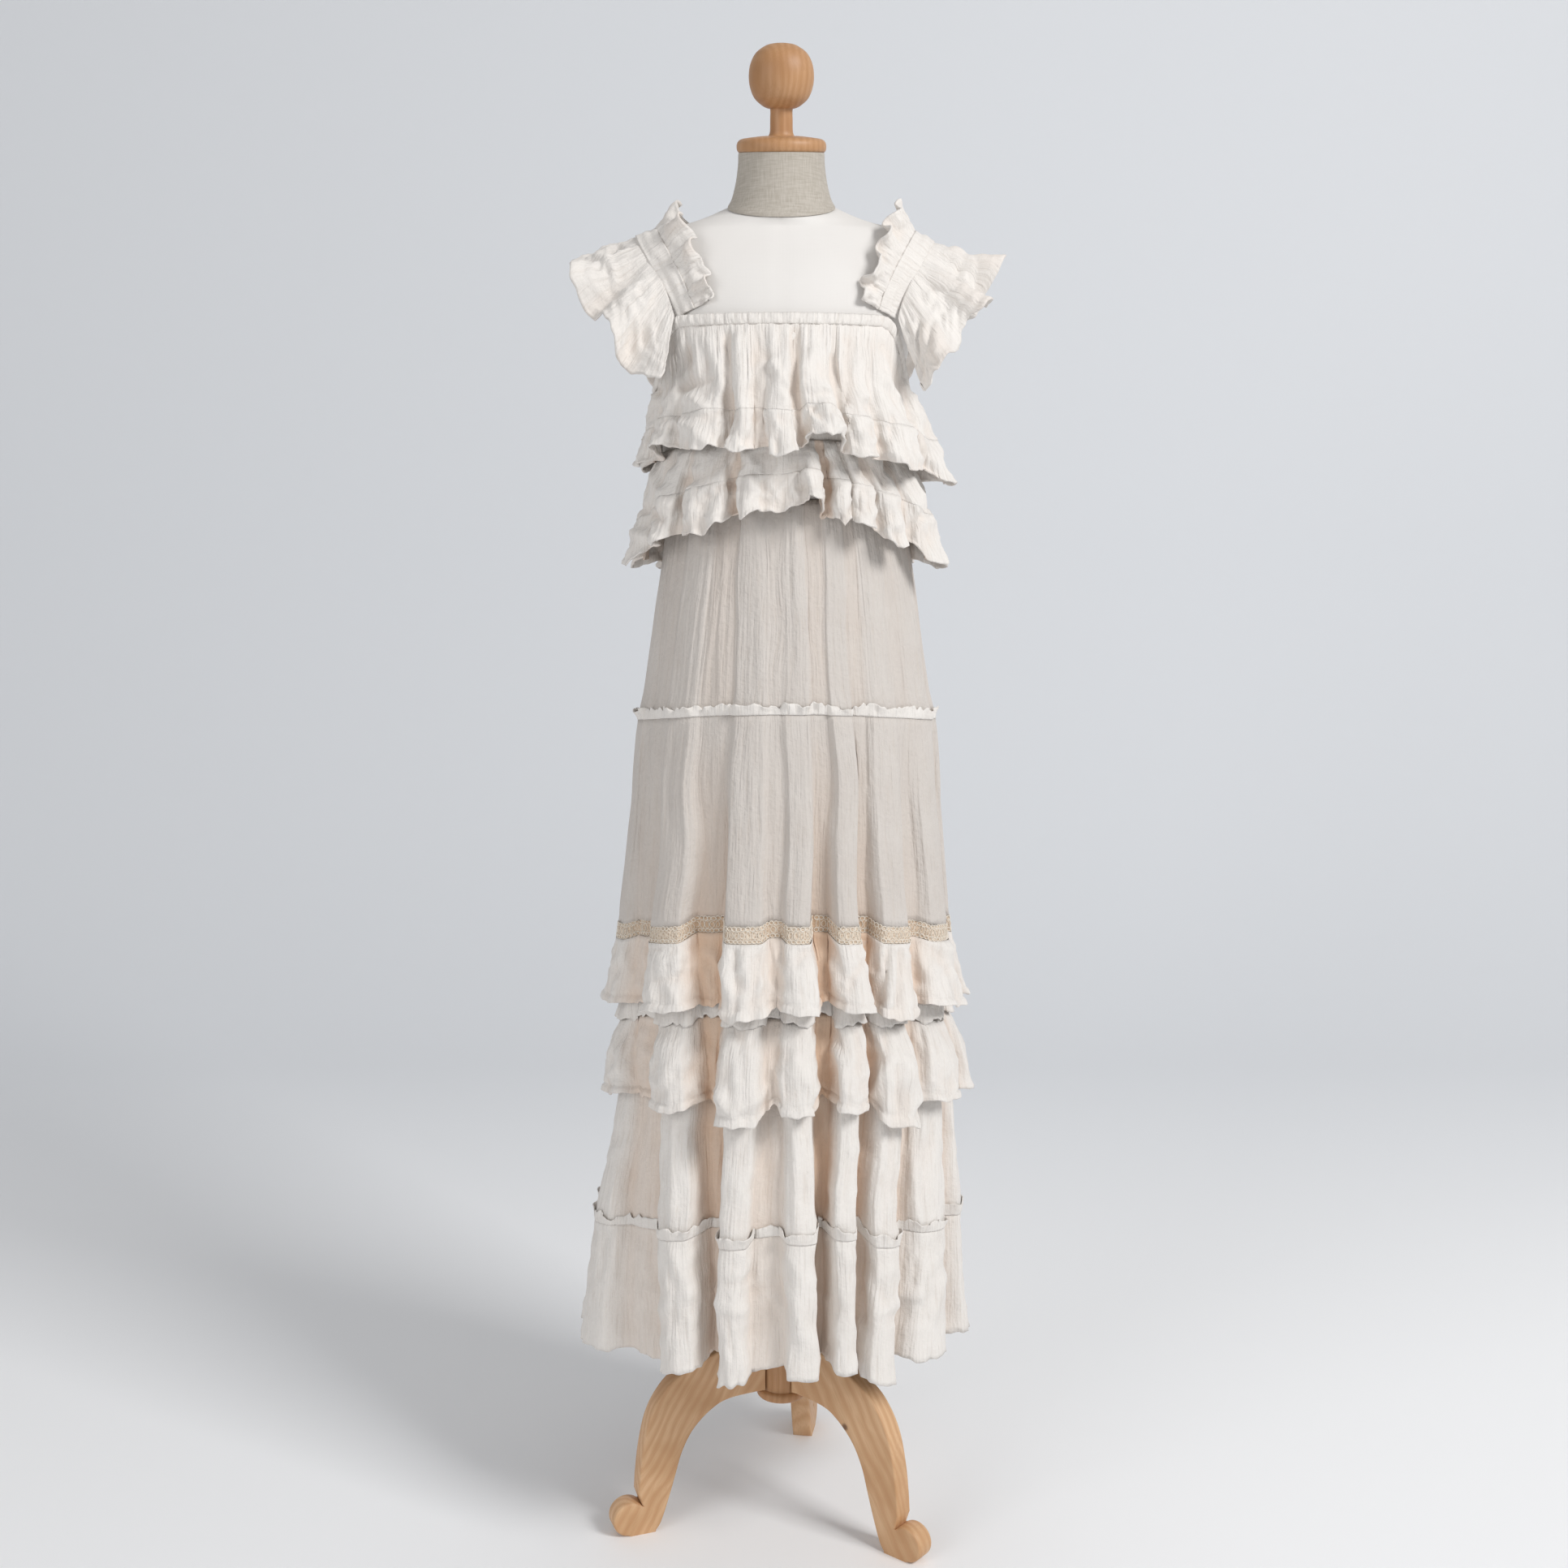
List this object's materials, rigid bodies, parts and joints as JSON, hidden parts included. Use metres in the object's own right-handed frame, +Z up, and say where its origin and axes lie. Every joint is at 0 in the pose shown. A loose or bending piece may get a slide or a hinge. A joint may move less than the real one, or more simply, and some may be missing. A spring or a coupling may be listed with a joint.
{
  "type": "tiered maxi dress on dress form with tripod stand",
  "caption": "Cream tiered maxi dress with fluttered shoulder straps, layered flounces, lace insertion and skirt ruffles, on a limbless dress form with a wooden tripod stand.",
  "frame": {"origin": "on the floor under the stand's axis, at the centre of the footprint", "axes": "+Z up along the stand's pole, the dress faces -Y and its wearer's left side is at +X"},
  "size_m": [0.5073, 0.433, 1.7832],
  "materials": {
    "cotton_gauze": "crinkled cream cotton gauze, matte",
    "cotton_lace": "openwork cotton lace, tan",
    "cotton_canvas": "stretched white canvas, matte",
    "linen": "grey-beige linen, matte",
    "pine_wood": "pale knotty wood, satin"
  },
  "bodies": {
    "root": {"bodice_back": "cotton_gauze", "bodice_front": "cotton_gauze", "finial": "pine_wood", "flounce_lower_back": "cotton_gauze", "flounce_lower_frill_back": "cotton_gauze", "flounce_lower_frill_front": "cotton_gauze", "flounce_lower_front": "cotton_gauze", "flounce_upper_back": "cotton_gauze", "flounce_upper_frill_back": "cotton_gauze", "flounce_upper_frill_front": "cotton_gauze", "flounce_upper_front": "cotton_gauze", "flutter_left": "cotton_gauze", "flutter_right": "cotton_gauze", "form_neck": "linen", "form_torso": "cotton_canvas", "heading_lower_back": "cotton_gauze", "heading_lower_front": "cotton_gauze", "heading_ruffle_back": "cotton_gauze", "heading_ruffle_front": "cotton_gauze", "heading_yoke_back": "cotton_gauze", "heading_yoke_front": "cotton_gauze", "hub": "pine_wood", "lace_insertion_back": "cotton_lace", "lace_insertion_front": "cotton_lace", "leg_left": "pine_wood", "leg_rear": "pine_wood", "leg_right": "pine_wood", "neck_cap": "pine_wood", "neck_ruffle_left": "cotton_gauze", "neck_ruffle_right": "cotton_gauze", "neckline_casing_back": "cotton_gauze", "neckline_casing_front": "cotton_gauze", "pole": "pine_wood", "ruffle_lower_back": "cotton_gauze", "ruffle_lower_front": "cotton_gauze", "ruffle_upper_back": "cotton_gauze", "ruffle_upper_front": "cotton_gauze", "strap_left": "cotton_gauze", "strap_right": "cotton_gauze", "tier_1_back": "cotton_gauze", "tier_1_front": "cotton_gauze", "tier_2_back": "cotton_gauze", "tier_2_front": "cotton_gauze", "tier_3_back": "cotton_gauze", "tier_3_front": "cotton_gauze", "tier_4_back": "cotton_gauze", "tier_4_front": "cotton_gauze"}
  },
  "joints": []
}
